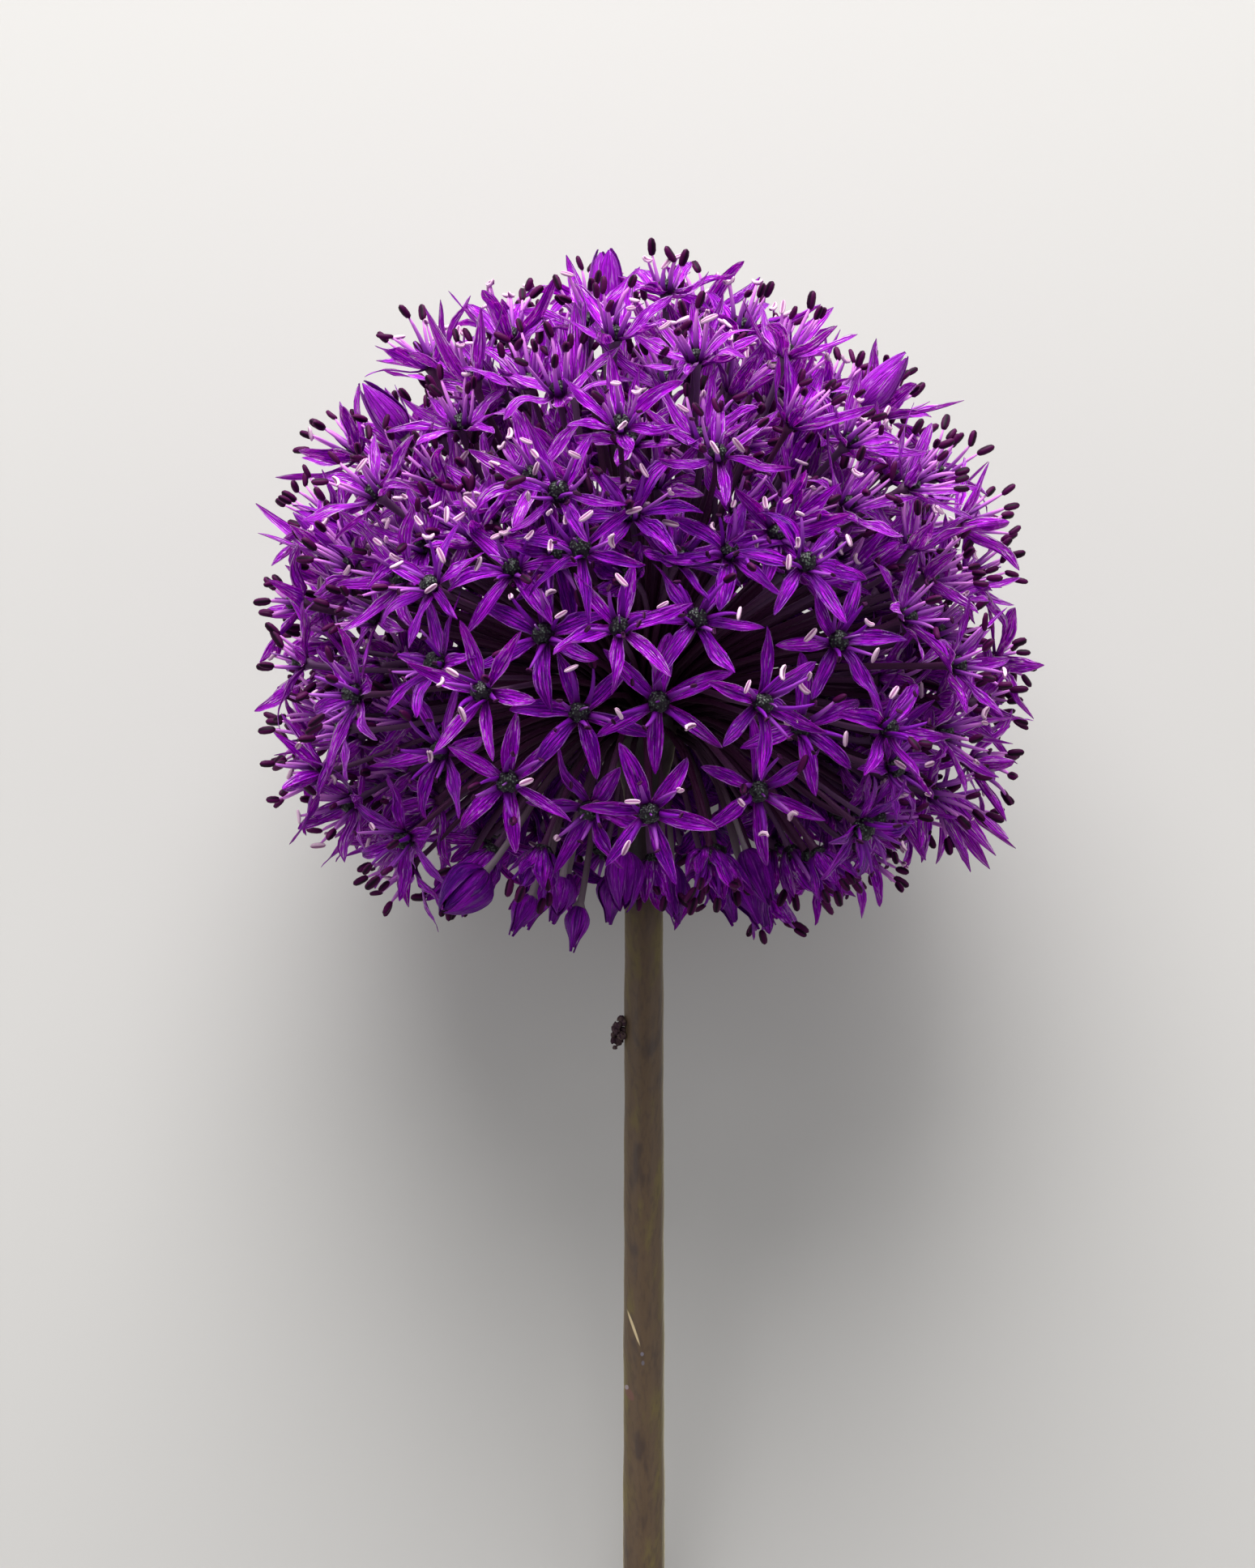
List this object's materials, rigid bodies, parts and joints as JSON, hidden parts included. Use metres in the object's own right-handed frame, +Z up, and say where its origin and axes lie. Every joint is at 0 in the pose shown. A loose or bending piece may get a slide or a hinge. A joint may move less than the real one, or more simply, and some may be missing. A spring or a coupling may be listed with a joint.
{
  "type": "allium flower head",
  "caption": "Round purple allium umbel of star florets and a few buds on thin pedicels, on a short cut scape, lying on its side.",
  "frame": {"origin": "on the surface that the flower lies on, under the middle of its bounding box", "axes": "+Z up from the surface; +Y from the cut end of the scape towards the crown of the flower head; +X across the head, to the right as seen from above with the crown away"},
  "size_m": [0.0934, 0.1687, 0.0904],
  "materials": {
    "scape_skin": "satin",
    "floret": "matte"
  },
  "bodies": {
    "root": {"scape": "scape_skin", "cyme_01": "floret", "cyme_02": "floret", "cyme_03": "floret", "cyme_04": "floret", "cyme_05": "floret", "cyme_06": "floret", "cyme_07": "floret", "cyme_08": "floret", "cyme_09": "floret", "cyme_10": "floret", "cyme_11": "floret", "cyme_12": "floret", "cyme_13": "floret", "cyme_14": "floret", "cyme_15": "floret", "cyme_16": "floret", "cyme_17": "floret", "cyme_18": "floret", "cyme_19": "floret", "cyme_20": "floret", "cyme_21": "floret", "cyme_22": "floret", "cyme_23": "floret", "cyme_24": "floret", "cyme_25": "floret", "cyme_26": "floret", "cyme_27": "floret", "cyme_28": "floret", "cyme_29": "floret", "cyme_30": "floret", "cyme_31": "floret", "cyme_32": "floret", "cyme_33": "floret", "cyme_34": "floret", "cyme_35": "floret", "cyme_36": "floret", "cyme_37": "floret", "cyme_38": "floret", "cyme_39": "floret", "cyme_40": "floret", "cyme_41": "floret", "cyme_42": "floret", "cyme_43": "floret", "cyme_44": "floret", "cyme_45": "floret", "cyme_46": "floret", "cyme_47": "floret", "cyme_48": "floret"}
  },
  "joints": []
}
